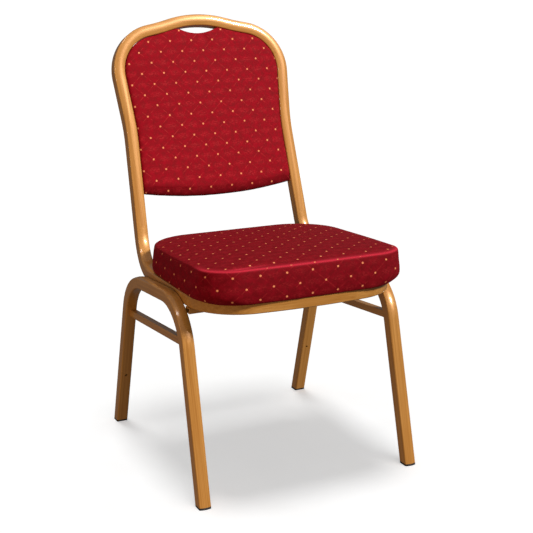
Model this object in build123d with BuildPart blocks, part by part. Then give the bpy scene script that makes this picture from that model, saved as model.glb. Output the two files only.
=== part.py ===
from build123d import *
import os
from math import atan, cos, degrees, radians, sin

os.makedirs("parts", exist_ok=True)

# Stacking banquet chair. Millimetres, +Z up, floor at Z = 0, front of the chair faces -Y.
# The origin is on the floor, in the middle of the chair's width and depth.

# ---- tube stock of the frame: a loaf-shaped section, domed on one face ----
tube = 25.0
half = tube / 2
wall = 1.5
dome = 2.5
corner_r = 3.0
touch = 0.05  # gap left where two welded pieces meet

# ---- seat ring: the level the side rails and the front rail lie in ----
depth_shift = -284.54  # from the front foot line to the middle of the depth
ring_height = 389.5
ring_fall = 0.021  # drop to the rear, per millimetre
ring_half_width = 204.5
ring_corner_y = 107.5
ring_corner_r = 97.5
front_bow_angle = 5.9
rail_splay = 0.008
rail_joint_y = 250.0
rail_rear_y = 325.0

# ---- backrest hoop ----
recline = 18.5
hoop_y = 424.85 + depth_shift
hoop_z = 462.0
crown_v = 452.3
hump_r, hump_angle = 245.0, 16.0
valley_r, valley_angle = 488.0, 6.0
shoulder_r, shoulder_angle = 95.5, 84.8
shoulder_run = 86.3
waist_r, waist_angle = 500.0, 6.8
lower_run = 196.5
seat_bend_handle = 43.0

# ---- leg frames: one bent tube each, an upturned U seen from the side ----
leg_x = 233.35  # tube centre at the front foot
leg_lean = 0.0075
front_leg_slope = 0.255
rear_leg_slope = -0.285
rear_foot_y = 498.0
arch_top_z, arch_top_y, arch_slope = 376.0, 250.0, -0.08
leg_bend_r = 106.0
foot_cap = 4.0
plug_top = 24.0
plug_fit = 0.2
below_floor = 20.0  # how far the leg tubes run on before they are cut at the caps
hole_d = 5.0
hole_height = 126.0

# ---- stretchers and cross rails ----
stretcher = 15.0
stretcher_wall = 1.2
stretcher_corner_r = 1.5
stretcher_z, stretcher_slope = 293.2, -0.085
stretcher_front, stretcher_rear = 80.0, 425.0  # inside the legs' tubes, before coping
cross_depth, cross_height = 20.0, 12.0
cross_corner_r, cross_bore_r = 1.5, 0.8
front_cross_y, rear_cross_y = 105.0, 300.0

# ---- seat pad ----
pad_half_width = 217.5
pad_front_y = -11.0
pad_rear_y = 386.0
pad_front_bow = 6.0
pad_rear_taper = 5.5
pad_front_r, pad_top_front_r, pad_rear_r = 92.0, 66.0, 110.0
pad_top_reach = 4.0  # how far the top edge stands out past the bottom at the front
pad_seat = half + touch
board_t = 10.0
board_inset = 7.0
cover_t = 1.6
foam_gap = 0.2
pad_top_front, pad_top_fall = 467.0, 0.045
pad_edge_r = 9.0
tab_up, tab_t = 3.9, 3.0
tab_reach, tab_width, tab_corner_r = 28.0, 30.0, 6.0
bolt_y = {"front": 150.0, "rear": 280.0}
bolt_d, bolt_head_d, bolt_head_t, bolt_in = 6.0, 10.0, 4.0, 14.0
tee_barrel, tee_flange, tee_flange_t = 8.0, 18.0, 1.4
tee_barrel_start = 1.5
loose_fit = 0.3  # clearance round bolts, screws and nuts in their holes
dust_cloth_t, dust_cloth_inset = 1.0, 39.5

# ---- back pad ----
hoop_gap = 1.0
back_bottom_v, back_bottom_r = 58.0, 1007.0
notch_v, notch_r = 419.5, 95.0
back_front_z = 14.5
back_board_z = 3.0
back_rear_z = -13.0
back_edge_r, back_rear_edge_r = 5.0, 1.2
layer_gap = 0.1  # between the board and the covers and foams on it
lug_t, lug_reach, lug_width, lug_corner_r = 3.0, 24.0, 20.0, 3.0
lug_v = {"lower": 112.0, "upper": 325.0}
screw_d, screw_head_d, screw_head_t, screw_bite = 4.0, 8.0, 2.0, 4.0
foam_clear = 32.0  # the rear foam keeps clear of the lugs


def ring_plane(up=0.0):
    """The level of the seat ring, lifted along its own normal."""
    level = Plane(origin=(0, depth_shift, ring_height), x_dir=(1, 0, 0), z_dir=(0, ring_fall, 1))
    return level.offset(up)


def hoop_plane(forward=0.0):
    """The reclined plane of the backrest hoop, its normal towards the sitter."""
    tilt = radians(recline)
    level = Plane(origin=(0, hoop_y, hoop_z), x_dir=(1, 0, 0), z_dir=(0, -cos(tilt), sin(tilt)))
    return level.offset(forward)


def leg_plane(side, out=0.0):
    """The plane of one leg frame; local x runs to the rear and local y runs up."""
    level = Plane(
        origin=(side * leg_x, depth_shift, 0),
        x_dir=(-side * rail_splay, 1, 0),
        z_dir=(1, side * rail_splay, side * leg_lean),
    )
    return level.offset(side * out)


def loaf_section(plane, inset=0.0, hollow=True):
    """Tube section: flat back and sides, domed towards the plane's local y."""
    with BuildSketch(plane) as section:
        with BuildLine():
            Polyline(
                (-half, half - dome),
                (-half, -half),
                (half, -half),
                (half, half - dome),
            )
            ThreePointArc((half, half - dome), (0, half), (-half, half - dome))
        make_face()
        fillet(section.vertices(), corner_r)
        if inset:
            offset(amount=-inset, mode=Mode.REPLACE)
        if hollow:
            offset(amount=-wall, mode=Mode.SUBTRACT)
    return section.sketch


def hoop_outline(inward=0.0):
    """Right half of the hoop from the crown to above the seat bend, drawn in its own plane."""
    with BuildLine() as outline:
        crown = JernArc((0, crown_v - inward), (1, 0), hump_r - inward, -hump_angle)
        valley = JernArc(crown @ 1, crown % 1, valley_r + inward, valley_angle)
        shoulder = JernArc(valley @ 1, valley % 1, shoulder_r - inward, -shoulder_angle)
        upper = PolarLine(shoulder @ 1, shoulder_run, direction=shoulder % 1)
        waist = JernArc(upper @ 1, upper % 1, waist_r + inward, waist_angle)
        PolarLine(waist @ 1, lower_run, direction=waist % 1)
    return outline.line


def ring_outline(rear_y):
    """Right half of the seat ring, from a point on the side rail to the middle of the front."""
    start_x = ring_half_width - rail_splay * (rear_y - ring_corner_y)
    turn = 90 + degrees(atan(rail_splay)) - front_bow_angle
    with BuildLine() as outline:
        side_rail = Line((start_x, rear_y), (ring_half_width, ring_corner_y))
        corner = JernArc(side_rail @ 1, side_rail % 1, ring_corner_r, -turn)
        bow_r = (corner @ 1).X / sin(radians(front_bow_angle))
        JernArc(corner @ 1, corner % 1, bow_r, -front_bow_angle)
    return outline.line


def rail_point(y):
    """Centre of the right side rail at a distance behind the front foot line."""
    x = ring_half_width - rail_splay * (y - ring_corner_y)
    return ring_plane().from_local_coords(Vector(x, y, 0))


def leg_corners():
    """Corner points of the leg frame's centre line, front to rear, in its own plane."""
    top_zero = arch_top_z - arch_slope * arch_top_y
    front_v = top_zero / (1 - arch_slope * front_leg_slope)
    rear_v = (top_zero + arch_slope * rear_foot_y) / (1 - arch_slope * rear_leg_slope)
    return (
        (-front_leg_slope * below_floor, -below_floor),
        (front_leg_slope * front_v, front_v),
        (rear_foot_y + rear_leg_slope * rear_v, rear_v),
        (rear_foot_y - rear_leg_slope * below_floor, -below_floor),
    )


def save(builder, name):
    """Names a finished piece and writes its file."""
    builder.part.label = name
    export_step(builder.part, f"parts/{name}.step")


def make_back_hoop():
    """Crown, shoulders, uprights, seat bends and the rear part of the side rails."""
    upper = hoop_outline().moved(hoop_plane().location)
    bend_top, top_dir = upper @ 1, upper % 1
    bend_end = rail_point(rail_rear_y)
    rail_end = rail_point(rail_joint_y)
    forward = (rail_end - bend_end).normalized()
    with BuildLine() as bend:
        Bezier(
            bend_top,
            bend_top + top_dir * seat_bend_handle,
            bend_end - forward * seat_bend_handle,
            bend_end,
        )
    crown_plane = Plane(origin=upper @ 0, x_dir=hoop_plane().y_dir, z_dir=(1, 0, 0))
    top_plane = Plane(origin=bend_top, x_dir=top_dir.cross(hoop_plane().z_dir) * -1, z_dir=top_dir)
    low_plane = Plane(origin=bend_end, x_dir=forward.cross(ring_plane().z_dir) * -1, z_dir=forward)
    outer = [loaf_section(plane, hollow=False) for plane in (top_plane, low_plane)]
    bore = [loaf_section(plane, inset=wall, hollow=False) for plane in (top_plane, low_plane)]
    with BuildPart() as back_hoop:
        sweep(sections=outer, path=bend.line, multisection=True)
        sweep(sections=bore, path=bend.line, multisection=True, mode=Mode.SUBTRACT)
        sweep(sections=loaf_section(crown_plane), path=Wire(upper.edges()))
        extrude(loaf_section(low_plane), amount=(rail_end - bend_end).length)
        mirror(about=Plane.YZ)
    save(back_hoop, "back_hoop")


def make_front_rail():
    """Front rail with its two rounded corners, butted to the side rails."""
    level = ring_plane()
    path = Wire(ring_outline(rail_joint_y).moved(level.location).edges())
    start_plane = Plane(origin=path @ 0, x_dir=(path % 0).cross(level.z_dir) * -1, z_dir=path % 0)
    with BuildPart() as seat_front_rail:
        sweep(sections=loaf_section(start_plane), path=path)
        mirror(about=Plane.YZ)
    save(seat_front_rail, "seat_front_rail")


def leg_sweep(side, grow=0.0, hollow=True):
    """The whole bent tube of one leg frame, still running down through the floor."""
    level = leg_plane(side)
    with BuildLine() as centre:
        FilletPolyline(*leg_corners(), radius=leg_bend_r)
    path = Wire(centre.line.moved(level.location).edges())
    start_plane = Plane(origin=path @ 0, x_dir=level.z_dir * -1, z_dir=path % 0)
    with BuildPart() as bent_tube:
        sweep(sections=loaf_section(start_plane, inset=-grow, hollow=hollow), path=path)
    return bent_tube.part


def make_leg_frame(side, name):
    """One leg frame: front leg, arch and rear leg in one bent tube, drilled near the rear foot."""
    back_run = rear_foot_y + rear_leg_slope * hole_height
    hole_x = side * (leg_x - rail_splay * back_run - leg_lean * hole_height)
    hole_centre = (hole_x, back_run + depth_shift, hole_height)
    with BuildPart() as leg_frame:
        add(leg_sweep(side))
        split(bisect_by=Plane.XY.offset(foot_cap), keep=Keep.TOP)
        with BuildSketch(Plane(origin=hole_centre, x_dir=(1, 0, 0), z_dir=(0, -1, rear_leg_slope))):
            Circle(hole_d / 2)
        extrude(amount=tube, mode=Mode.SUBTRACT)
    save(leg_frame, name)


def make_glide(side, rear, name):
    """Plastic end cap under a leg, with a plug up inside the tube."""
    level = leg_plane(side)
    corners = leg_corners()
    low, high = (corners[3], corners[2]) if rear else (corners[0], corners[1])
    base = level.from_local_coords(Vector(low[0], low[1], 0))
    top = level.from_local_coords(Vector(high[0], high[1], 0))
    outward = level.z_dir * (1 if rear else -1)
    start_plane = Plane(origin=base, x_dir=outward, z_dir=(top - base).normalized())
    reach = 2 * (below_floor + plug_top)
    with BuildPart() as cap:
        extrude(loaf_section(start_plane, hollow=False), amount=reach)
        split(bisect_by=Plane.XY, keep=Keep.TOP)
        split(bisect_by=Plane.XY.offset(foot_cap), keep=Keep.BOTTOM)
    with BuildPart() as glide:
        extrude(loaf_section(start_plane, inset=wall + plug_fit, hollow=False), amount=reach)
        split(bisect_by=Plane.XY.offset(foot_cap), keep=Keep.TOP)
        split(bisect_by=Plane.XY.offset(plug_top), keep=Keep.BOTTOM)
        add(cap.part)
    save(glide, name)


def make_stretcher(side, name):
    """Square side stretcher between the front and rear leg, its ends coped to the bent tube."""
    angle = atan(stretcher_slope)
    middle_u = (stretcher_front + stretcher_rear) / 2
    middle_v = stretcher_z + stretcher_slope * (middle_u - arch_top_y)
    length = (stretcher_rear - stretcher_front) / cos(angle)
    level = leg_plane(side, -half + stretcher / 2)
    along = level.x_dir * cos(angle) + level.y_dir * sin(angle)
    bore = stretcher - 2 * stretcher_wall
    centre = level.from_local_coords(Vector(middle_u, middle_v, 0))
    with BuildPart() as side_stretcher:
        with BuildSketch(Plane(origin=centre, x_dir=level.z_dir, z_dir=along)):
            RectangleRounded(stretcher, stretcher, stretcher_corner_r)
            RectangleRounded(bore, bore, stretcher_corner_r / 3, mode=Mode.SUBTRACT)
        extrude(amount=length / 2, both=True)
        add(leg_sweep(side, grow=touch, hollow=False), mode=Mode.SUBTRACT)
    save(side_stretcher, name)


def make_cross_rail(y, name):
    """Flat tube under the ring, from one leg frame to the other."""
    top = ring_height - ring_fall * (y + cross_depth / 2) - half - touch
    mid_z = top - cross_height / 2
    end_x = leg_x - rail_splay * (y + cross_depth / 2) - leg_lean * top - half - touch
    with BuildPart() as cross_rail:
        with BuildSketch(Plane(origin=(0, y + depth_shift, mid_z), x_dir=(0, 1, 0), z_dir=(1, 0, 0))):
            RectangleRounded(cross_depth, cross_height, cross_corner_r)
            bore_size = (cross_depth - 2 * wall, cross_height - 2 * wall)
            RectangleRounded(*bore_size, cross_bore_r, mode=Mode.SUBTRACT)
        extrude(amount=end_x, both=True)
    save(cross_rail, name)


def pad_outline(plane, inset=0.0, front_r=pad_front_r, grow_front=0.0):
    """Plan of the seat pad on a plane whose local y starts at the front foot line."""
    side_x = pad_half_width - inset
    front = pad_front_y + inset - grow_front
    rear = pad_rear_y - inset
    side_y = front + pad_front_bow
    rear_x = side_x - pad_rear_taper
    with BuildSketch(plane) as plan:
        with BuildLine():
            Polyline((-side_x, side_y), (-rear_x, rear), (rear_x, rear), (side_x, side_y))
            ThreePointArc((side_x, side_y), (0, front), (-side_x, side_y))
        make_face()
        fillet(plan.vertices().sort_by(Axis.Y)[:2], front_r - inset)
        fillet(plan.vertices().sort_by(Axis.Y)[-2:], pad_rear_r - inset)
    return plan.sketch


def pad_top_plane(down=0.0):
    """The level of the seat pad's upper edge, lowered along its own normal."""
    level = Plane(origin=(0, depth_shift, pad_top_front), x_dir=(1, 0, 0), z_dir=(0, pad_top_fall, 1))
    return level.offset(-down)


def pad_body(inset, bottom_up, top_down):
    """Seat pad shape between a level above the ring and a level under the pad's top."""
    low = pad_outline(ring_plane(pad_seat + bottom_up), inset)
    high = pad_outline(pad_top_plane(top_down), inset, pad_top_front_r, pad_top_reach)
    return loft([low.face(), high.face()])


def bolt_x(y):
    """Distance of a seat bolt from the middle of the chair."""
    return ring_half_width - rail_splay * (y - ring_corner_y) - half - bolt_in


def bolt_places():
    """Name ending, x and y of the four bolts that hold the seat board."""
    places = []
    for row, y in bolt_y.items():
        for side, hand in ((-1, "left"), (1, "right")):
            places.append((f"{row}_{hand}", side * bolt_x(y), y))
    return places


def make_seat_board():
    """Plywood board under the foam, counterbored for the tee nuts."""
    with BuildPart() as seat_board:
        outline = pad_outline(ring_plane(pad_seat), board_inset)
        extrude(outline, amount=board_t, dir=ring_plane().z_dir)
        for _, x, y in bolt_places():
            with BuildSketch(ring_plane(pad_seat)):
                with Locations((x, y)):
                    Circle(tee_barrel / 2 + loose_fit)
            extrude(amount=board_t, mode=Mode.SUBTRACT)
            with BuildSketch(ring_plane(pad_seat + board_t)):
                with Locations((x, y)):
                    Circle(tee_flange / 2 + loose_fit)
            extrude(amount=-tee_flange_t - loose_fit, mode=Mode.SUBTRACT)
    save(seat_board, "seat_board")


def make_seat_foam():
    """Foam block between the board and the cover."""
    with BuildPart() as seat_foam:
        inset = cover_t + 2 * foam_gap
        add(pad_body(inset, board_t + foam_gap, inset))
        fillet(seat_foam.faces().sort_by(Axis.Z)[-1].edges(), pad_edge_r - cover_t)
    save(seat_foam, "seat_foam")


def make_seat_cover():
    """Fabric cover, open underneath, over the foam and the board's edge."""
    with BuildPart() as cavity:
        add(pad_body(cover_t, 0, cover_t))
        fillet(cavity.faces().sort_by(Axis.Z)[-1].edges(), pad_edge_r - cover_t)
    with BuildPart() as seat_cover:
        add(pad_body(0, 0, 0))
        fillet(seat_cover.faces().sort_by(Axis.Z)[-1].edges(), pad_edge_r)
        add(cavity.part, mode=Mode.SUBTRACT)
    save(seat_cover, "seat_cover")


def make_dust_cloth():
    """Thin cloth closing the underside of the seat inside the ring."""
    with BuildPart() as seat_dust_cloth:
        outline = pad_outline(ring_plane(pad_seat - foam_gap - dust_cloth_t), dust_cloth_inset)
        extrude(outline, amount=dust_cloth_t, dir=ring_plane().z_dir)
        for _, x, y in bolt_places():
            with BuildSketch(ring_plane(0)):
                with Locations((x, y)):
                    Circle(bolt_d / 2 + 3 * loose_fit)
            extrude(amount=pad_seat, mode=Mode.SUBTRACT)
    save(seat_dust_cloth, "seat_dust_cloth")


def make_seat_fixing(ending, x, y):
    """Welded tab, bolt and tee nut at one corner of the seat."""
    side = 1 if x > 0 else -1
    outer_x = abs(x) + bolt_in - 4 * touch
    with BuildPart() as seat_tab:
        with BuildSketch(ring_plane(tab_up)):
            with Locations((side * (outer_x - tab_reach / 2), y)):
                Rectangle(tab_reach, tab_width)
            with Locations((x, y)):
                Circle(bolt_d / 2 + loose_fit, mode=Mode.SUBTRACT)
        extrude(amount=tab_t)
        upright = seat_tab.edges().filter_by(Axis.Z, tolerance=3)
        fillet(upright.group_by(Axis.X)[0 if side > 0 else -1], tab_corner_r)
    save(seat_tab, f"seat_tab_{ending}")

    with BuildPart() as seat_bolt:
        with BuildSketch(ring_plane(tab_up - bolt_head_t)):
            with Locations((x, y)):
                RegularPolygon(bolt_head_d / 2, 6, major_radius=False)
        extrude(amount=bolt_head_t)
        with BuildSketch(ring_plane(tab_up)):
            with Locations((x, y)):
                Circle(bolt_d / 2)
        extrude(amount=pad_seat + board_t - tab_up - 1)
    save(seat_bolt, f"seat_bolt_{ending}")

    with BuildPart() as seat_tee_nut:
        with BuildSketch(ring_plane(pad_seat + board_t - tee_flange_t - layer_gap)):
            with Locations((x, y)):
                Circle(tee_flange / 2)
        extrude(amount=tee_flange_t)
        with BuildSketch(ring_plane(pad_seat + tee_barrel_start)):
            with Locations((x, y)):
                Circle(tee_barrel / 2)
        extrude(amount=board_t - tee_flange_t - layer_gap - tee_barrel_start)
        with BuildSketch(ring_plane(pad_seat)):
            with Locations((x, y)):
                Circle(bolt_d / 2 + layer_gap)
        extrude(amount=board_t, mode=Mode.SUBTRACT)
    save(seat_tee_nut, f"seat_tee_nut_{ending}")


def back_outline(plane, inset=0.0):
    """Outline of the back pad inside the hoop, with a bowed foot and a hand notch at the top."""
    with BuildSketch(plane) as outline:
        with BuildLine():
            right = add(hoop_outline(half + hoop_gap + inset))
            mirror(about=Plane.YZ)
            low = right.vertices().sort_by(Axis.Y)[0]
            Line((low.X, low.Y), (-low.X, low.Y))
        make_face()
        with Locations((0, back_bottom_v + back_bottom_r)):
            Circle(back_bottom_r - inset, mode=Mode.INTERSECT)
        with Locations((0, notch_v + notch_r)):
            Circle(notch_r + inset, mode=Mode.SUBTRACT)
    return outline.sketch


def lug_places():
    """Name ending, hand and height of the four lugs that carry the back board."""
    places = []
    for row, v in lug_v.items():
        for side, hand in ((-1, "left"), (1, "right")):
            places.append((f"{row}_{hand}", side, v))
    return places


def hoop_inner_x(v):
    """Least half-width of the hoop's opening over the height of a lug."""
    inner = hoop_outline(half)
    steps = 400
    samples = [inner @ (step / steps) for step in range(steps + 1)]
    return min(point.X for point in samples if abs(point.Y - v) < lug_width)


def make_back_board():
    """Thin plywood board in the middle of the back pad, with pilot holes for its screws."""
    forward = hoop_plane().z_dir
    with BuildPart() as back_board:
        outline = back_outline(hoop_plane(-back_board_z), cover_t + layer_gap)
        extrude(outline, amount=2 * back_board_z, dir=forward)
        for _, side, v in lug_places():
            with BuildSketch(hoop_plane(-back_board_z)):
                with Locations((side * (lug_edge[v] - lug_reach / 2), v)):
                    Circle(screw_d / 2 + loose_fit)
            extrude(amount=screw_bite + loose_fit, mode=Mode.SUBTRACT)
    save(back_board, "back_board")


def make_back_foams():
    """Foam in front of the back board, and a thinner smaller sheet behind it."""
    forward = hoop_plane().z_dir
    front_t = back_front_z - back_board_z - cover_t - 4 * layer_gap
    rear_t = -back_rear_z - back_board_z - cover_t - 4 * layer_gap
    with BuildPart() as back_foam_front:
        outline = back_outline(hoop_plane(back_board_z + layer_gap), cover_t + 3 * layer_gap)
        extrude(outline, amount=front_t, dir=forward)
    save(back_foam_front, "back_foam_front")
    with BuildPart() as back_foam_rear:
        outline = back_outline(hoop_plane(-back_board_z - layer_gap), foam_clear)
        extrude(outline, amount=rear_t, dir=forward * -1)
    save(back_foam_rear, "back_foam_rear")


def make_back_covers():
    """Front cover wrapped round the board's edge, and a flatter rear cover slotted for the lugs."""
    forward = hoop_plane().z_dir
    back = forward * -1
    front_depth = back_board_z + back_front_z
    rear_depth = -back_rear_z - back_board_z
    rear_start = -back_board_z - layer_gap
    with BuildPart() as back_cover_front:
        extrude(back_outline(hoop_plane(-back_board_z)), amount=front_depth, dir=forward)
        front_face = back_cover_front.faces().sort_by(Axis((0, 0, 0), forward))[-1]
        fillet(front_face.edges(), back_edge_r)
        cavity = back_outline(hoop_plane(-back_board_z), cover_t)
        extrude(cavity, amount=front_depth - cover_t, dir=forward, mode=Mode.SUBTRACT)
    save(back_cover_front, "back_cover_front")
    with BuildPart() as back_cover_rear:
        extrude(back_outline(hoop_plane(rear_start)), amount=rear_depth, dir=back)
        rear_face = back_cover_rear.faces().sort_by(Axis((0, 0, 0), back))[-1]
        fillet(rear_face.edges(), back_rear_edge_r)
        cavity = back_outline(hoop_plane(rear_start), cover_t)
        extrude(cavity, amount=rear_depth - cover_t, dir=back, mode=Mode.SUBTRACT)
        for _, side, v in lug_places():
            with BuildSketch(hoop_plane(-back_board_z)):
                with Locations((side * lug_edge[v], v)):
                    Rectangle(2 * lug_reach, lug_width + 3 * loose_fit)
            extrude(amount=-lug_t - 2 * loose_fit, mode=Mode.SUBTRACT)
    save(back_cover_rear, "back_cover_rear")


def make_back_fixing(ending, side, v):
    """Welded lug and its screw at one corner of the back board."""
    inner_x = lug_edge[v] - 4 * touch
    screw_x = side * (lug_edge[v] - lug_reach / 2)
    rear = -back_board_z - layer_gap
    with BuildPart() as back_lug:
        with BuildSketch(hoop_plane(rear)):
            with Locations((side * (inner_x - lug_reach / 2), v)):
                RectangleRounded(lug_reach, lug_width, lug_corner_r)
            with Locations((screw_x, v)):
                Circle(screw_d / 2 + loose_fit, mode=Mode.SUBTRACT)
        extrude(amount=-lug_t)
    save(back_lug, f"back_lug_{ending}")
    with BuildPart() as back_screw:
        with BuildSketch(hoop_plane(rear - lug_t)):
            with Locations((screw_x, v)):
                Circle(screw_head_d / 2)
        extrude(amount=-screw_head_t)
        with BuildSketch(hoop_plane(rear - lug_t)):
            with Locations((screw_x, v)):
                Circle(screw_d / 2)
        extrude(amount=lug_t + screw_bite)
    save(back_screw, f"back_screw_{ending}")


lug_edge = {v: hoop_inner_x(v) for v in lug_v.values()}

make_back_hoop()
make_front_rail()
make_cross_rail(front_cross_y, "seat_cross_rail_front")
make_cross_rail(rear_cross_y, "seat_cross_rail_rear")
for hand_side, hand_name in ((-1, "left"), (1, "right")):
    make_leg_frame(hand_side, f"leg_frame_{hand_name}")
    make_stretcher(hand_side, f"side_stretcher_{hand_name}")
    make_glide(hand_side, False, f"foot_glide_front_{hand_name}")
    make_glide(hand_side, True, f"foot_glide_rear_{hand_name}")
make_seat_board()
make_seat_foam()
make_seat_cover()
make_dust_cloth()
for place in bolt_places():
    make_seat_fixing(*place)
make_back_board()
make_back_foams()
make_back_covers()
for place in lug_places():
    make_back_fixing(*place)
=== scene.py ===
import math

import bpy
from mathutils import Euler, Matrix, Vector, noise


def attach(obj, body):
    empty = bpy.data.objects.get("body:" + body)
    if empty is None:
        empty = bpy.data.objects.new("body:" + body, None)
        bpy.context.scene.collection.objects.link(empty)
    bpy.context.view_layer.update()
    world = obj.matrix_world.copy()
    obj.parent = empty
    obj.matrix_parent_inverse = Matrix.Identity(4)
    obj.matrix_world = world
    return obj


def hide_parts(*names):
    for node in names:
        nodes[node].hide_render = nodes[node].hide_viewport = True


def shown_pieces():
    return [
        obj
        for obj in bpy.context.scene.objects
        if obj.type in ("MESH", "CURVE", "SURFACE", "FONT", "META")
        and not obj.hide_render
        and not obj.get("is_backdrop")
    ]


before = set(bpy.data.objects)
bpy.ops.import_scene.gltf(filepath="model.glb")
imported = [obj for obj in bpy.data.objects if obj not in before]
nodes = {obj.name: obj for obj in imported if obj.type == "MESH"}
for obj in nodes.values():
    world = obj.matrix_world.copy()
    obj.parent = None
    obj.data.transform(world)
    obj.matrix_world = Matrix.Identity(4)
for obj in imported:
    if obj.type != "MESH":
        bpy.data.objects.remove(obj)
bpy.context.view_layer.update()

# ---------------------------------------------------------------- sizes, in metres
RECLINE = math.radians(18.5)
HOOP_ORIGIN = Vector((0.0, 0.14031, 0.462))
RING_FALL = 0.021
PAD_TOP_FALL = 0.045
FRONT_Y = -0.28454            # the front foot line
RING_TOP = 0.3895 + 0.01255   # top of the seat ring at the front foot line
PAD_TOP = 0.467               # upper edge of the seat pad at the front foot line
PAD_HALF = 0.219
PAD_FRONT, PAD_REAR = -0.011, 0.386     # behind the front foot line
PAD_FRONT_R, PAD_LOW_FRONT_R, PAD_REAR_R = 0.066, 0.092, 0.11   # corners of the pad's plan
SEAT_PAINTED_SHADE = 0.55               # painted shade: the seat's cloth is darkened against the back's
FOOT_R, FOOT_V = 1.007, 0.058           # bow and height of the back pad's foot, up the recline
NOTCH_R, NOTCH_V = 0.095, 0.4225        # the hand opening in the back pad's top edge
GATHER_V = 0.4195             # where the gathers below the hand opening start
PAD_COUNT = 264               # points round one ring of a pad

DOT_ACROSS, DOT_DOWN = 0.0506, 0.0467   # the staggered lattice of woven dots
SEAT_DOT = (0.0265, 0.0141)   # where one dot falls on the seat's top, across and behind the foot line
BAND_DOT = (-0.0052, 0.0521)  # where one dot falls on its band, round from the front and up from the ring
BAND_SCALE = 0.946            # the band is cut slightly stretched
BACK_DOT = (0.0280, 0.0278)   # where one dot falls on the back, across and up the recline
BACK_SCALE = (1.004, 0.992)

HOOP_FRAME = Matrix.Translation(HOOP_ORIGIN) @ Euler((math.pi / 2 - RECLINE, 0.0, 0.0)).to_matrix().to_4x4()
HOOP_INVERSE = HOOP_FRAME.inverted()
BACK_CENTRE = Vector((0.0, 0.24))


# ---------------------------------------------------------------- shader helpers
class Nodes:
    """Short way to build one material's node tree."""

    def __init__(self, name):
        self.material = bpy.data.materials.new(name)
        self.material.use_nodes = True
        self.tree = self.material.node_tree
        self.shader = self.tree.nodes["Principled BSDF"]

    def add(self, kind, **settings):
        node = self.tree.nodes.new(kind)
        inputs = settings.pop("inputs", {})
        for key, value in settings.items():
            setattr(node, key, value)
        for key, value in inputs.items():
            if isinstance(value, bpy.types.NodeSocket):
                self.tree.links.new(value, node.inputs[key])
            else:
                node.inputs[key].default_value = value
        return node

    def math(self, operation, a, b=0.0, c=0.0):
        node = self.add("ShaderNodeMath", operation=operation, inputs={0: a, 1: b, 2: c})
        return node.outputs[0]

    def vector(self, operation, a, b=(0.0, 0.0, 0.0), c=(0.0, 0.0, 0.0)):
        node = self.add("ShaderNodeVectorMath", operation=operation, inputs={0: a, 1: b})
        if operation == "WRAP":
            node.inputs[2].default_value = c
        return node.outputs["Value" if operation == "LENGTH" else "Vector"]

    def noise(self, where, scale, detail=3.0, roughness=0.5):
        node = self.add("ShaderNodeTexNoise", inputs={"Vector": where, "Scale": scale, "Detail": detail,
                                                      "Roughness": roughness})
        return node.outputs["Fac"]

    def band(self, value, low, high, to_low=0.0, to_high=1.0):
        node = self.add("ShaderNodeMapRange", interpolation_type="SMOOTHSTEP",
                        inputs={"Value": value, "From Min": low, "From Max": high,
                                "To Min": to_low, "To Max": to_high})
        return node.outputs["Result"]

    def mix(self, share, a, b):
        node = self.add("ShaderNodeMix", data_type="RGBA", inputs={0: share, 6: a, 7: b})
        return node.outputs[2]

    def mix_vector(self, share, a, b):
        node = self.add("ShaderNodeMix", data_type="VECTOR", inputs={0: share, 4: a, 5: b})
        return node.outputs[1]

    def bump(self, height, distance, strength=1.0):
        node = self.add("ShaderNodeBump", inputs={"Height": height, "Distance": distance, "Strength": strength})
        return node.outputs["Normal"]

    def stored(self, name):
        """A value stored at the mesh's points, 0 where the piece has none."""
        return self.add("ShaderNodeAttribute", attribute_name=name).outputs["Fac"]

    def place(self):
        return self.add("ShaderNodeTexCoord").outputs["Object"]

    def split(self, where):
        return self.add("ShaderNodeSeparateXYZ", inputs={0: where}).outputs

    def finish(self, color, rough, normal, **fixed):
        self.tree.links.new(color, self.shader.inputs["Base Color"])
        self.tree.links.new(rough, self.shader.inputs["Roughness"])
        self.tree.links.new(normal, self.shader.inputs["Normal"])
        for key, value in fixed.items():
            self.shader.inputs[key.replace("_", " ")].default_value = value
        return self.material


def linear(r, g, b):
    """Shader colour from an ordinary 0-255 colour."""
    return tuple((c / 255.0) ** 2.2 for c in (r, g, b)) + (1.0,)


# ---------------------------------------------------------------- materials
def gold_paint(name, zones, edges, axis):
    """Glossy honey paint with fine streaks along the tube. Each zone is (tilt about X, long axis);
    edges are the (low, high) positions on the axis where one zone passes into the next."""
    n = Nodes(name)
    where = n.place()
    along = n.split(where)[axis]
    streaks = None
    for index, (tilt, long_axis) in enumerate(zones):
        size = [0.0016, 0.0016, 0.0016]
        size[long_axis] = 0.16
        turned = n.add("ShaderNodeMapping", vector_type="TEXTURE",
                       inputs={"Vector": where, "Rotation": (tilt, 0.0, 0.0), "Scale": size}).outputs[0]
        if streaks is None:
            streaks = turned
        else:
            share = n.band(along, *edges[index - 1])
            streaks = n.mix_vector(share, streaks, turned)
    fine = n.noise(streaks, 1.0, 3.0, 0.6)
    broad = n.noise(streaks, 0.28, 2.0, 0.5)
    cloud = n.noise(where, 9.0, 2.0, 0.5)
    grain = n.math("ADD", n.math("MULTIPLY", fine, 0.55), n.math("MULTIPLY", broad, 0.45))
    tone = n.band(grain, 0.25, 0.75)
    color = n.mix(tone, linear(158, 102, 40), linear(202, 144, 76))
    color = n.mix(n.band(cloud, 0.35, 0.7, 0.0, 0.35), color, linear(172, 112, 48))
    rough = n.band(fine, 0.2, 0.8, 0.28, 0.40)
    peel = n.noise(where, 420.0, 1.0)
    normal = n.bump(n.math("ADD", n.math("MULTIPLY", grain, 0.8), n.math("MULTIPLY", peel, 0.12)), 0.00006)
    return n.finish(color, rough, normal, Metallic=0.15, Coat_Weight=0.6, Coat_Roughness=0.05,
                    Specular_IOR_Level=0.3)


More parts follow.
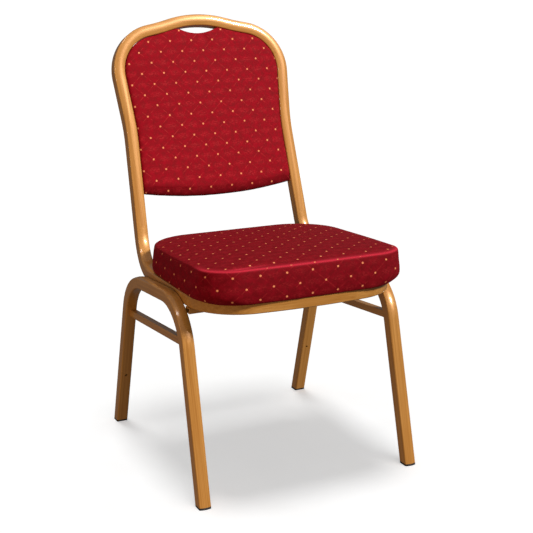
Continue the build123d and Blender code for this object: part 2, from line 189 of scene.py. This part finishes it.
def jacquard(name):
    """Crimson velvety jacquard with small gold dots on a diamond lattice. Reads the piece's UV map,
    which is in metres of cloth."""
    n = Nodes(name)
    cloth = n.add("ShaderNodeUVMap", uv_map="cloth").outputs["UV"]
    cell = (DOT_ACROSS / 2, DOT_DOWN / 2, 1.0)
    low = (-DOT_ACROSS / 2, -DOT_DOWN / 2, -1.0)
    wobble = n.add("ShaderNodeTexNoise", inputs={"Vector": cloth, "Scale": 500.0}).outputs["Color"]
    soft = n.vector("MULTIPLY", n.vector("SUBTRACT", wobble, (0.5, 0.5, 0.5)), (0.0012, 0.0012, 0.0))
    ragged = n.vector("ADD", cloth, soft)
    first = n.vector("WRAP", ragged, cell, low)
    second = n.vector("WRAP", n.vector("ADD", ragged, cell), cell, low)
    in_plane = (1.0, 1.0, 0.0)
    near = n.math("MINIMUM", n.vector("LENGTH", n.vector("MULTIPLY", first, in_plane)),
                  n.vector("LENGTH", n.vector("MULTIPLY", second, in_plane)))
    dot = n.band(near, 0.0014, 0.0026, 1.0, 0.0)

    # faint woven diagonals through the dots
    u, v = n.split(ragged)[0], n.split(ragged)[1]
    su, sv = n.math("DIVIDE", u, DOT_ACROSS), n.math("DIVIDE", v, DOT_DOWN)
    stitch = n.band(n.noise(cloth, 90.0, 2.0), 0.44, 0.62)
    lines = None
    for operation in ("ADD", "SUBTRACT"):
        away = n.math("ABSOLUTE", n.math("WRAP", n.math(operation, su, sv), 0.5, -0.5))
        line = n.band(away, 0.008, 0.022, 1.0, 0.0)
        lines = line if lines is None else n.math("MAXIMUM", lines, line)
    lines = n.math("MULTIPLY", lines, stitch)

    # lighter brushed motifs half way between neighbouring dots, across and down
    motif = None
    for shift in ((DOT_ACROSS / 2, 0.0, 0.0), (0.0, DOT_DOWN / 2, 0.0)):
        spot = n.vector("WRAP", n.vector("ADD", ragged, shift), cell, low)
        reach = n.vector("LENGTH", n.vector("MULTIPLY", spot, (1 / 0.0165, 1 / 0.0075, 0.0)))
        leaf = n.band(reach, 0.35, 1.15, 1.0, 0.0)
        motif = leaf if motif is None else n.math("MAXIMUM", motif, leaf)
    brushed_and_edge_highlight = n.noise(n.vector("MULTIPLY", cloth, (1.0, 2.0, 1.0)), 210.0, 4.0, 0.62)
    motif = n.math("MULTIPLY", motif, n.band(brushed_and_edge_highlight, 0.44, 0.64))

    # pile: broad mottling and thread-scale speckle
    mottle = n.noise(cloth, 95.0, 5.0, 0.66)
    thread = n.noise(n.vector("MULTIPLY", cloth, (1.0, 1.6, 1.0)), 1500.0, 1.0)
    pile = n.mix(n.band(mottle, 0.30, 0.72), linear(114, 4, 17), linear(142, 12, 29))
    pile = n.mix(n.band(thread, 0.35, 0.75, 0.0, 0.22), pile, linear(170, 24, 38))
    pile = n.mix(n.math("MULTIPLY", motif, 0.46), pile, linear(180, 48, 50))
    pile = n.mix(n.math("MULTIPLY", lines, 0.55), pile, linear(182, 54, 50))
    # painted shade: darkens the cloth by the pad's stored shade value
    pile = n.mix(n.stored("painted_shade"), pile, n.vector("MULTIPLY", pile, (0.45, 0.40, 0.42)))
    # painted highlight: lightens the cloth along the seat's upper front edge
    pile = n.mix(n.math("MULTIPLY", n.stored("brushed_and_edge_highlight"), 0.55), pile, linear(214, 52, 70))
    color = n.mix(dot, pile, linear(222, 134, 90))
    rough = n.math("ADD", n.band(mottle, 0.3, 0.7, 0.70, 0.86), n.math("MULTIPLY", dot, -0.1))
    per_thread = 2 * math.pi / 0.0009
    weave_u = n.math("SINE", n.math("MULTIPLY", u, per_thread))
    weave_v = n.math("SINE", n.math("MULTIPLY", v, per_thread))
    height = n.math("ADD", n.math("MULTIPLY", n.math("MULTIPLY", weave_u, weave_v), 0.12),
                    n.math("ADD", n.math("MULTIPLY", thread, 0.5), n.math("MULTIPLY", dot, 0.9)))
    height = n.math("ADD", height, n.math("MULTIPLY", motif, 0.12))
    normal = n.bump(height, 0.00022, 0.8)
    return n.finish(color, rough, normal, Sheen_Weight=0.08, Sheen_Roughness=0.35,
                    Sheen_Tint=linear(240, 50, 70), Specular_IOR_Level=0.10)


def speckled(name, dark, light, scale, rough, depth, stretch=(1.0, 1.0, 1.0), **fixed):
    """A plain two-tone material whose grain comes from noise in the object's own space."""
    n = Nodes(name)
    where = n.vector("MULTIPLY", n.place(), stretch)
    grain = n.noise(where, scale, 4.0, 0.6)
    broad = n.noise(where, scale * 0.12, 2.0)
    mixed = n.math("ADD", n.math("MULTIPLY", grain, 0.6), n.math("MULTIPLY", broad, 0.4))
    color = n.mix(n.band(mixed, 0.35, 0.66), dark, light)
    return n.finish(color, n.band(grain, 0.3, 0.7, *rough), n.bump(grain, depth), **fixed)


UP, REAR = 2, 1   # long axes of the paint streaks, before the tilt
paint_hoop = gold_paint("paint_hoop", [(math.atan(RING_FALL), REAR), (-RECLINE, UP), (-RECLINE, 0)],
                        [(0.41, 0.47), (0.815, 0.885)], 2)
paint_leg = gold_paint("paint_leg", [(-math.atan(0.255), UP), (-math.atan(0.08), REAR), (math.atan(0.285), UP)],
                       [(-0.215, -0.15), (0.04, 0.12)], 1)
paint_side = gold_paint("paint_side", [(-math.atan(0.08), REAR)], [], 1)
paint_front = gold_paint("paint_front", [(0.0, 0)], [], 1)
cloth_red = jacquard("cover_fabric")
plywood = speckled("plywood", linear(150, 108, 66), linear(204, 166, 116), 260.0, (0.6, 0.8), 0.0003,
                   (1.0, 0.06, 2.0))
lining = speckled("lining_cloth", linear(18, 18, 19), linear(42, 41, 42), 1400.0, (0.8, 0.95), 0.0004)
plastic = speckled("glide_plastic", linear(24, 21, 20), linear(48, 43, 40), 700.0, (0.42, 0.6), 0.00008)
zinc = speckled("zinc_steel", linear(128, 130, 128), linear(196, 196, 188), 380.0, (0.28, 0.46), 0.00005,
                Metallic=1.0)


def paint_node(name, material):
    """Gives a CAD node its finished material in every slot."""
    mesh = nodes[name].data
    for index in range(max(1, len(mesh.materials))):
        if index < len(mesh.materials):
            mesh.materials[index] = material
        else:
            mesh.materials.append(material)


FINISHES = (
    ("leg_frame", paint_leg), ("back_hoop", paint_hoop), ("back_lug", paint_hoop), ("side_stretcher", paint_side),
    ("seat_front_rail", paint_front), ("seat_cross_rail", paint_front), ("seat_tab", paint_front),
    ("foot_glide", plastic), ("seat_board", plywood), ("back_board", plywood), ("seat_dust_cloth", lining),
    ("seat_bolt", zinc), ("seat_tee_nut", zinc), ("back_screw", zinc),
)
for name in nodes:
    for start_of_name, finish in FINISHES:
        if name.startswith(start_of_name):
            paint_node(name, finish)


# ---------------------------------------------------------------- soft pieces
def new_piece(name, points, faces, material):
    """A smooth-shaded mesh object."""
    mesh = bpy.data.meshes.new(name)
    mesh.from_pydata([tuple(p) for p in points], [], faces)
    mesh.materials.append(material)
    mesh.update()
    piece = bpy.data.objects.new(name, mesh)
    bpy.context.scene.collection.objects.link(piece)
    for face in mesh.polygons:
        face.use_smooth = True
    return piece


def fill_ring(points, ring, first, lift):
    """Fills a closed ring of points, which starts at number first, with a square grid of new points.
    lift(u, v) moves a point of the grid. Returns the grid's faces, facing the way the ring turns."""
    n = len(ring) // 4
    count, start = 4 * n, n // 2

    def edge(k):
        return ring[k % count]

    index = {}
    for j in range(n + 1):
        for i in range(n + 1):
            if j == 0:
                k = start + 3 * n + i
            elif j == n:
                k = start + 2 * n - i
            elif i == 0:
                k = start + 3 * n - j
            elif i == n:
                k = start + j
            else:
                u, v = i / n, j / n
                near, far = edge(start + 3 * n + i), edge(start + 2 * n - i)
                left, right = edge(start + 3 * n - j), edge(start + j)
                corners = (edge(start + 3 * n) * (1 - u) * (1 - v) + edge(start) * u * (1 - v)
                           + edge(start + 2 * n) * (1 - u) * v + edge(start + n) * u * v)
                points.append(near * (1 - v) + far * v + left * (1 - u) + right * u - corners + lift(u, v))
                index[i, j] = len(points) - 1
                continue
            index[i, j] = first + k % count
    return [(index[i, j], index[i + 1, j], index[i + 1, j + 1], index[i, j + 1])
            for j in range(n) for i in range(n)]


def no_lift(u, v):
    return Vector((0.0, 0.0, 0.0))


def skin(name, rings, material, unfold, lift_first=no_lift, lift_last=no_lift):
    """Closed surface through rings of equally many points, with a grid at both ends and a UV map of
    the cloth. unfold(level, index, point) gives the cloth position of a ring's point for the band of
    faces that starts at that level."""
    count, last = len(rings[0]), len(rings) - 1
    points = [p for ring in rings for p in ring]
    faces, places = [], []
    for level in range(last):
        for i in range(count):
            low, high, j = level * count, (level + 1) * count, (i + 1) % count
            faces.append((low + i, low + j, high + j, high + i))
            corners = ((low + i, i), (low + j, i + 1), (high + j, i + 1), (high + i, i))
            places += [unfold(level, k, points[p]) for p, k in corners]
    ends = [face[::-1] for face in fill_ring(points, rings[0], 0, lift_first)]
    places += [unfold(0, 0, points[p]) for face in ends for p in face]
    faces += ends
    ends = fill_ring(points, rings[last], last * count, lift_last)
    places += [unfold(last, 0, points[p]) for face in ends for p in face]
    faces += ends
    piece = new_piece(name, points, faces, material)
    layer = piece.data.uv_layers.new(name="cloth")
    for corner, place in zip(layer.data, places):
        corner.uv = place
    return piece


def apply_modifiers(piece):
    """Replaces the piece's mesh by the one its modifiers make."""
    graph = bpy.context.evaluated_depsgraph_get()
    made = bpy.data.meshes.new_from_object(piece.evaluated_get(graph))
    piece.modifiers.clear()
    piece.data = made
    for face in made.polygons:
        face.use_smooth = True


def stuff(piece, held, cap, pressure=4.0, frames=20):
    """Blows a closed pad up as cloth, and limits how far each point moves. held(point) gives how
    firmly a point stays put, and cap(point) its longest move."""
    start = [v.co.copy() for v in piece.data.vertices]
    group = piece.vertex_groups.new(name="held")
    for index, point in enumerate(start):
        group.add([index], held(point), "REPLACE")
    cloth = piece.modifiers.new("cloth", "CLOTH")
    cloth.settings.quality = 5
    cloth.settings.mass = 0.3
    cloth.settings.tension_stiffness = 12
    cloth.settings.compression_stiffness = 8
    cloth.settings.bending_stiffness = 0.6
    cloth.settings.use_pressure = True
    cloth.settings.uniform_pressure_force = pressure
    cloth.settings.effector_weights.gravity = 0
    cloth.settings.vertex_group_mass = "held"
    cloth.collision_settings.use_collision = False
    cloth.point_cache.frame_start = 1
    cloth.point_cache.frame_end = frames
    scene = bpy.context.scene
    for step in range(1, frames + 1):
        scene.frame_set(step)
    apply_modifiers(piece)
    scene.frame_set(1)
    for point, vertex in zip(start, piece.data.vertices):
        move = vertex.co - point
        limit = cap(point)
        if move.length > limit:
            vertex.co = point + move * (limit / move.length)


def mark(piece, name, amount):
    """Stores a value from 0 to 1 at each point of a pad for the cloth's colour: a painted highlight along an
    edge, and painted shade that darkens the cloth."""
    layer = piece.data.attributes.new(name, "FLOAT", "POINT")
    layer.data.foreach_set("value", [amount(v.co) for v in piece.data.vertices])


def refine(piece, shape):
    """Subdivides a pad once, then moves its points by shape(point, normal)."""
    finer = piece.modifiers.new("finer", "SUBSURF")
    finer.levels = 1
    finer.render_levels = 1
    apply_modifiers(piece)
    moves = [shape(v.co, v.normal) for v in piece.data.vertices]
    for vertex, move in zip(piece.data.vertices, moves):
        vertex.co += move
    piece.data.update()


def step_smooth(value, low, high):
    """0 up to low, 1 from high on, and a smooth step between."""
    t = min(1.0, max(0.0, (value - low) / (high - low)))
    return t * t * (3 - 2 * t)


def even_loop(points, count):
    """Closed loop of points made into count points an equal distance apart."""
    loop = points + [points[0]]
    lengths = [0.0]
    for a, b in zip(loop, loop[1:]):
        lengths.append(lengths[-1] + (b - a).length)
    even, k = [], 0
    for i in range(count):
        target = lengths[-1] * i / count
        while lengths[k + 1] < target:
            k += 1
        t = (target - lengths[k]) / max(1e-9, lengths[k + 1] - lengths[k])
        even.append(loop[k].lerp(loop[k + 1], t))
    return even


# ---- seat pad
def seat_plan(inset, front_r, rear_r, reach):
    """Rounded plan of the seat pad from the middle of its front round by the right, in chair x and
    depth behind the foot line."""
    half, front, rear = PAD_HALF - inset, PAD_FRONT + inset - reach, PAD_REAR - inset
    corners = [((half - front_r, front + front_r), front_r, 270), ((half - rear_r, rear - rear_r), rear_r, 0),
               ((-half + rear_r, rear - rear_r), rear_r, 90), ((-half + front_r, front + front_r), front_r, 180)]
    dense = [Vector((0.0, front, 0.0))]
    for (cx, cy), r, start in corners:
        for k in range(31):
            a = math.radians(start + 3 * k)
            dense.append(Vector((cx + r * math.cos(a), cy + r * math.sin(a), 0.0)))
    points = even_loop(dense, PAD_COUNT)
    for p in points:
        p.y += 0.006 * (p.x / half) ** 2 * step_smooth(front + 0.08 - p.y, 0.0, 0.08)
        p.x *= 1 - 0.034 * step_smooth(p.y, 0.11, rear)
    return points


def seat_levels(y):
    """Bottom and top heights of the seat pad at a depth behind the foot line."""
    return RING_TOP - RING_FALL * y, PAD_TOP - PAD_TOP_FALL * y


def crown(u, v):
    """Rise of a filled face, from 0 at its edge to 1 in its middle."""
    return ((1 - abs(2 * u - 1) ** 2.4) * (1 - abs(2 * v - 1) ** 2.4)) ** 0.7


def make_seat_pad():
    """Seat cushion: a boxing band with a crisp sewn upper edge, fullest low down above the ring, and a
    softly crowned top panel."""
    # share of the height, how far inwards, extra drop below the ring's top at the front
    band = [(0.0, 0.004, 0.004), (0.006, 0.0002, 0.004), (0.04, -0.0020, 0.003), (0.12, -0.0036, 0.001),
            (0.22, -0.0040, 0), (0.34, -0.0034, 0), (0.46, -0.0025, 0), (0.58, -0.0015, 0), (0.70, -0.0006, 0),
            (0.80, 0.0002, 0), (0.88, 0.0008, 0), (0.93, 0.0014, 0), (0.965, 0.0026, 0), (0.985, 0.0042, 0)]
    rings = []
    for inward in (0.16, 0.10, 0.05, 0.02):
        radius = max(0.02, 0.09 - inward)
        plan = seat_plan(inward, radius, radius, 0.0)
        rings.append([Vector((p.x, p.y + FRONT_Y, seat_levels(p.y)[0] + 0.0006)) for p in plan])
    under_levels = len(rings)
    for share, inward, droop in band:
        front_r = PAD_LOW_FRONT_R - (PAD_LOW_FRONT_R - PAD_FRONT_R) * step_smooth(share, 0.0, 0.16)
        plan = seat_plan(inward, front_r - inward, PAD_REAR_R - inward, 0.003 * share)
        ring = []
        for p in plan:
            low, high = seat_levels(p.y)
            z = low + (high - low) * share - droop * (1 - step_smooth(p.y, 0.01, 0.06))
            ring.append(Vector((p.x, p.y + FRONT_Y, z)))
        rings.append(ring)
    seam_level = len(rings) - 1
    for inward in (0.0071, 0.011, 0.016):
        plan = seat_plan(inward, PAD_FRONT_R - inward, PAD_REAR_R - inward, 0.003)
        swell = 0.0012 * step_smooth(inward, 0.004, 0.016)
        rings.append([Vector((p.x, p.y + FRONT_Y, seat_levels(p.y)[1] + swell)) for p in plan])
    around = sum((b - a).length for a, b in zip(rings[seam_level], rings[seam_level][1:]))

    def unfold(level, index, point):
        if level >= seam_level:
            return (point.x - SEAT_DOT[0], point.y - FRONT_Y - SEAT_DOT[1])
        if level < under_levels:
            return (point.x, point.y)
        turn = index / PAD_COUNT
        turn = turn - 1 if turn > 0.62 else turn
        low = seat_levels(point.y - FRONT_Y)[0]
        return ((turn * around - BAND_DOT[0]) * BAND_SCALE, point.z - low - BAND_DOT[1])

    def lift_top(u, v):
        return Vector((0.0, 0.0, 0.0080 * crown(u, v)))

    pad = skin("seat_pad", rings, cloth_red, unfold, lift_last=lift_top)

    def share_of(point):
        low, high = seat_levels(point.y - FRONT_Y)
        return (point.z - low) / (high - low)

    def held(point):
        share = share_of(point)
        return 1.0 if share < 0.06 else 0.5 if 0.9 < share < 1.02 else 0.15

    def cap(point):
        share = share_of(point)
        if share < 0.03:
            return 0.0
        return 0.0006 if 0.86 < share < 1.015 else 0.0018

    stuff(pad, held, cap)
    corner = Vector((-0.155, FRONT_Y + 0.006, PAD_TOP))
    fold = Vector((-0.055, FRONT_Y + 0.012, PAD_TOP))

    def shape(point, normal):
        share = share_of(point)
        move = Vector()
        if share > 0.93:
            run = fold - corner
            t = (point - corner).dot(run) / run.length_squared
            near = point - corner - run * t
            away = math.hypot(near.x, near.y)
            if -0.3 < t < 1.2 and away < 0.02:
                fade = step_smooth(t, -0.3, 0.1) * (1 - step_smooth(t, 0.5, 1.2))
                move -= normal * 0.0022 * fade * math.exp(-(away / 0.005) ** 2)
        ripple = noise.noise(point * 26) * 0.0007 + noise.noise(point * 75) * 0.00025
        return move + normal * ripple * step_smooth(abs(share - 1.0), 0.0, 0.06)

    refine(pad, shape)
    # painted highlight along the seat's upper front edge, fading towards the rear
    mark(pad, "brushed_and_edge_highlight", lambda point: math.exp(-((share_of(point) - 0.985) / 0.024) ** 2)
         * (1 - step_smooth(point.y - FRONT_Y, 0.03, 0.09)))
    # painted shade: the whole seat cloth darker than the back's
    mark(pad, "painted_shade", lambda point: SEAT_PAINTED_SHADE)
    return pad


# ---- back pads
def turn_run(start, heading, runs, inward):
    """Points along arcs and straight runs. A run is (radius, turn in degrees) or (length, None);
    turning right is negative and its radius shrinks inwards."""
    points = [Vector(start)]
    here, angle = Vector(start), math.radians(heading)
    for size, turn in runs:
        if turn is None:
            ahead = Vector((math.cos(angle), math.sin(angle)))
            for k in range(1, 21):
                points.append(here + ahead * size * k / 20)
            here = points[-1]
            continue
        sign = 1 if turn > 0 else -1
        radius = size + sign * inward
        centre = here + Vector((-math.sin(angle), math.cos(angle))) * radius * sign
        spoke = here - centre
        for k in range(1, 25):
            a = math.radians(turn) * k / 24
            points.append(centre + Vector((spoke.x * math.cos(a) - spoke.y * math.sin(a),
                                           spoke.x * math.sin(a) + spoke.y * math.cos(a))))
        here = points[-1]
        angle += math.radians(turn)
    return points


def foot_height(x, inset=0.0):
    """Height of the back pad's bowed foot up the recline."""
    return FOOT_V + FOOT_R - math.sqrt((FOOT_R - inset) ** 2 - x * x)


def back_outline(inset):
    """Outline of the back pad in the hoop's plane: hoop curve, hand notch and bowed foot."""
    inward = 0.0127 + inset
    runs = [(0.245, -16.0), (0.488, 6.0), (0.0955, -84.8), (0.0863, None), (0.5, 6.8), (0.1965, None)]
    side = turn_run((0.0, 0.4523 - inward), 0.0, runs, inward)
    right = []
    for p in side:
        y = max(p.y, foot_height(p.x, inset))
        if abs(p.x) < NOTCH_R + inset:
            y = min(y, NOTCH_V + NOTCH_R - math.sqrt((NOTCH_R + inset) ** 2 - p.x ** 2))
        right.append(Vector((p.x, y)))
    end = right[-1]
    for k in range(1, 40):
        x = end.x * (1 - k / 40)
        right.append(Vector((x, foot_height(x, inset))))
    left = [Vector((-p.x, p.y)) for p in reversed(right) if p.x > 1e-5]
    return even_loop(right + left, PAD_COUNT)[::-1]


def back_rings(levels):
    """Rings of the back pad from (inset, height) pairs, in the row frame. Past the deepest true inset
    a ring is a smaller copy of the outline."""
    deepest, half_width = 0.010, 0.185
    rings = []
    for inset, height in levels:
        outline = back_outline(min(inset, deepest))
        extra = max(0.0, inset - deepest)
        ring = []
        for p in outline:
            q = BACK_CENTRE + (p - BACK_CENTRE) * (1 - extra / half_width)
            ring.append(HOOP_FRAME @ Vector((q.x, q.y, height)))
        rings.append(ring)
    return rings


def make_back_pad(name, levels, grip, rise, front):
    """One half of the back cushion through the given (inset, height) levels. Nearer to the hoop's
    plane than grip it is held; rise is the crown of its face, and front says which half it is."""
    def unfold(level, index, point):
        local = HOOP_INVERSE @ point
        radial = Vector((local.x, local.y)) - BACK_CENTRE
        wrap = max(0.0, 0.010 - abs(local.z)) if radial.length > 0.12 else 0.0
        place = Vector((local.x, local.y))
        if wrap:
            place += radial.normalized() * wrap
        return ((place.x - BACK_DOT[0]) * BACK_SCALE[0], (place.y - BACK_DOT[1]) * BACK_SCALE[1])

    forward = HOOP_FRAME.to_3x3() @ Vector((0.0, 0.0, 1.0))

    def lift(u, v):
        return forward * rise * crown(u, v)

    ends = {"lift_last": lift} if front else {"lift_first": lift}
    pad = skin(name, back_rings(levels), cloth_red, unfold, **ends)

    def held(point):
        return 1.0 if abs((HOOP_INVERSE @ point).z) < grip else 0.2

    def cap(point):
        return 0.0 if abs((HOOP_INVERSE @ point).z) < grip else 0.0015

    stuff(pad, held, cap)

    def shape(point, normal):
        """Small gathers below the hand opening, a foot rolled to the rear and a gentle unevenness."""
        local = HOOP_INVERSE @ point
        across, below = local.x - 0.002, GATHER_V - local.y
        move = noise.noise(point * 22) * 0.0008 + noise.noise(point * 70) * 0.0002
        if 0.0 <= below < 0.07 and abs(across) < 0.05 and abs(local.z) > grip:
            fade = (1 - step_smooth(below, 0.004, 0.055)) * (1 - step_smooth(abs(across), 0.01, 0.045))
            spread = across / (0.010 + 0.30 * below)
            move -= 0.0024 * fade * math.exp(-(spread - 0.4) ** 2 * 3)
            move += 0.0010 * fade * math.cos(spread * 3.2)
        above_foot = local.y - foot_height(local.x)
        roll = 0.0042 * (1 - step_smooth(above_foot, 0.0, 0.022)) if front and local.z > grip else 0.0
        return normal * move * step_smooth(abs(local.z), grip, grip + 0.003) - forward * roll

    # painted shade where the cloth rolls under at the pad's foot
    def foot_painted_shade(point):
        local = HOOP_INVERSE @ point
        return 0.75 * (1 - step_smooth(local.y - foot_height(local.x), 0.002, 0.030))

    refine(pad, shape)
    mark(pad, "painted_shade", foot_painted_shade)
    return pad


def keep(piece, fill, *stands_for):
    """Attaches a finished pad to the root body and hides the CAD nodes it stands for. Its fill is not used."""
    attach(piece, "root")
    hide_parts(*stands_for)


# (inset, height above the hoop's plane) of the rings, from the seam to the face or the other way
FRONT_LEVELS = [(0.10, -0.0026), (0.03, -0.0026), (0.004, -0.0026), (0.0012, -0.0010), (0.0006, 0.002),
                (0.0002, 0.0055), (0.0006, 0.0088), (0.0018, 0.0113), (0.0044, 0.0131), (0.0088, 0.0141),
                (0.016, 0.0147)]
REAR_LEVELS = [(0.016, -0.0122), (0.009, -0.0118), (0.005, -0.0110), (0.0018, -0.0095), (0.0008, -0.0070),
               (0.0008, -0.0048), (0.003, -0.0036), (0.03, -0.0034), (0.1, -0.0034)]

keep(make_seat_pad(), 0.9, "seat_cover", "seat_foam")
keep(make_back_pad("back_pad_front", FRONT_LEVELS, 0.004, 0.0042, True), 0.8,
     "back_cover_front", "back_foam_front")
keep(make_back_pad("back_pad_rear", REAR_LEVELS, 0.0045, -0.0014, False), 0.5,
     "back_cover_rear", "back_foam_rear")


# ---------------------------------------------------------------- camera, floor and light
def aim(holder, direction):
    holder.rotation_mode = "QUATERNION"
    holder.rotation_quaternion = Vector(direction).to_track_quat("-Z", "Y")


def make_camera(scene):
    camera = bpy.data.cameras.new("camera")
    camera.lens, camera.sensor_width = 80.1, 36.0
    holder = bpy.data.objects.new("camera", camera)
    scene.collection.objects.link(holder)
    holder.location = (-1.042, -2.2285, 1.0435)
    aim(holder, (0.4223, 0.8692, -0.2575))
    scene.camera = holder


def make_floor():
    """A wide pale floor that glows a little, and is kept out of the chair's own light and gloss."""
    reach, steps = 60.0, 8
    row = steps + 1
    grid = [Vector((reach * (2 * i / steps - 1), reach * (2 * j / steps - 1), 0.0))
            for j in range(row) for i in range(row)]
    cells = [(j * row + i, j * row + i + 1, (j + 1) * row + i + 1, (j + 1) * row + i)
             for j in range(steps) for i in range(steps)]
    pale = speckled("floor_pale", linear(238, 238, 237), linear(246, 246, 246), 6.0, (0.8, 0.95), 0.0001)
    shader = pale.node_tree.nodes["Principled BSDF"]
    shader.inputs["Emission Color"].default_value = (1.0, 1.0, 1.0, 1.0)
    shader.inputs["Emission Strength"].default_value = 0.43
    floor = new_piece("floor", grid, cells, pale)
    floor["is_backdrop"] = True
    floor.visible_diffuse = False
    floor.visible_glossy = False
    return floor


def make_world(scene):
    """A sky that brightens upwards for lighting, and plain white behind the chair."""
    world = bpy.data.worlds.new("studio")
    scene.world = world
    world.use_nodes = True
    tree = world.node_tree
    new, link = tree.nodes.new, tree.links.new
    white = (1.0, 1.0, 1.0, 1.0)
    where = new("ShaderNodeTexCoord")
    height = new("ShaderNodeSeparateXYZ")
    link(where.outputs["Generated"], height.inputs[0])
    rise = new("ShaderNodeMapRange")
    rise.interpolation_type = "SMOOTHSTEP"
    link(height.outputs["Z"], rise.inputs["Value"])
    for key, value in (("From Min", 0.0), ("From Max", 0.8), ("To Min", 0.10), ("To Max", 0.36)):
        rise.inputs[key].default_value = value
    sky = tree.nodes["Background"]
    sky.inputs["Color"].default_value = white
    link(rise.outputs[0], sky.inputs["Strength"])
    backdrop = new("ShaderNodeBackground")
    backdrop.inputs["Color"].default_value = white
    backdrop.inputs["Strength"].default_value = 1.0
    both = new("ShaderNodeMixShader")
    link(new("ShaderNodeLightPath").outputs["Is Camera Ray"], both.inputs[0])
    link(sky.outputs[0], both.inputs[1])
    link(backdrop.outputs[0], both.inputs[2])
    link(both.outputs[0], tree.nodes["World Output"].inputs["Surface"])


def lit_only(name, pieces):
    """A collection of the only pieces that some lamp lights."""
    group = bpy.data.collections.new(name)
    for piece in pieces:
        group.objects.link(piece)
    return group


def lamp(name, kind, spot, target, energy, size, lit):
    """A lamp at spot that looks at target. Size is a sun's angle in degrees, or an area's two sides."""
    light = bpy.data.lights.new(name, kind)
    light.energy = energy
    if kind == "SUN":
        light.angle = math.radians(size)
    else:
        light.shape = "RECTANGLE"
        light.size, light.size_y = size
    holder = bpy.data.objects.new(name, light)
    bpy.context.scene.collection.objects.link(holder)
    holder.location = spot
    aim(holder, Vector(target) - Vector(spot))
    holder.light_linking.receiver_collection = lit
    return holder


def studio():
    scene = bpy.context.scene
    scene.view_settings.view_transform = "Standard"
    scene.view_settings.look = "None"
    make_camera(scene)
    floor = make_floor()
    make_world(scene)
    only_floor = lit_only("lit_floor", [floor])
    only_chair = lit_only("lit_chair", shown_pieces())
    lamp("key", "SUN", (1.5, -1.9, 2.4), (0.0, 0.0, 0.45), 3.9, 9, only_chair)
    lamp("overhead", "SUN", (0.02, 0.15, 3.0), (0.0, 0.0, 0.0), 1.25, 17, only_floor)
    lamp("softbox_top", "AREA", (-0.5, -0.5, 2.6), (0.0, 0.05, 0.4), 6.0, (0.5, 0.3), only_chair)
    left = lamp("softbox_left", "AREA", (-2.6, -1.6, 2.3), (0.0, 0.0, 0.5), 7.0, (0.14, 1.1), only_chair)
    left.visible_diffuse = False
    warm = lamp("warm_fill", "AREA", (-2.2, -1.4, 0.5), (0.0, 0.0, 0.4), 22.0, (1.6, 1.0), only_chair)
    warm.data.color = (1.0, 0.74, 0.46)
    warm.visible_glossy = False


studio()
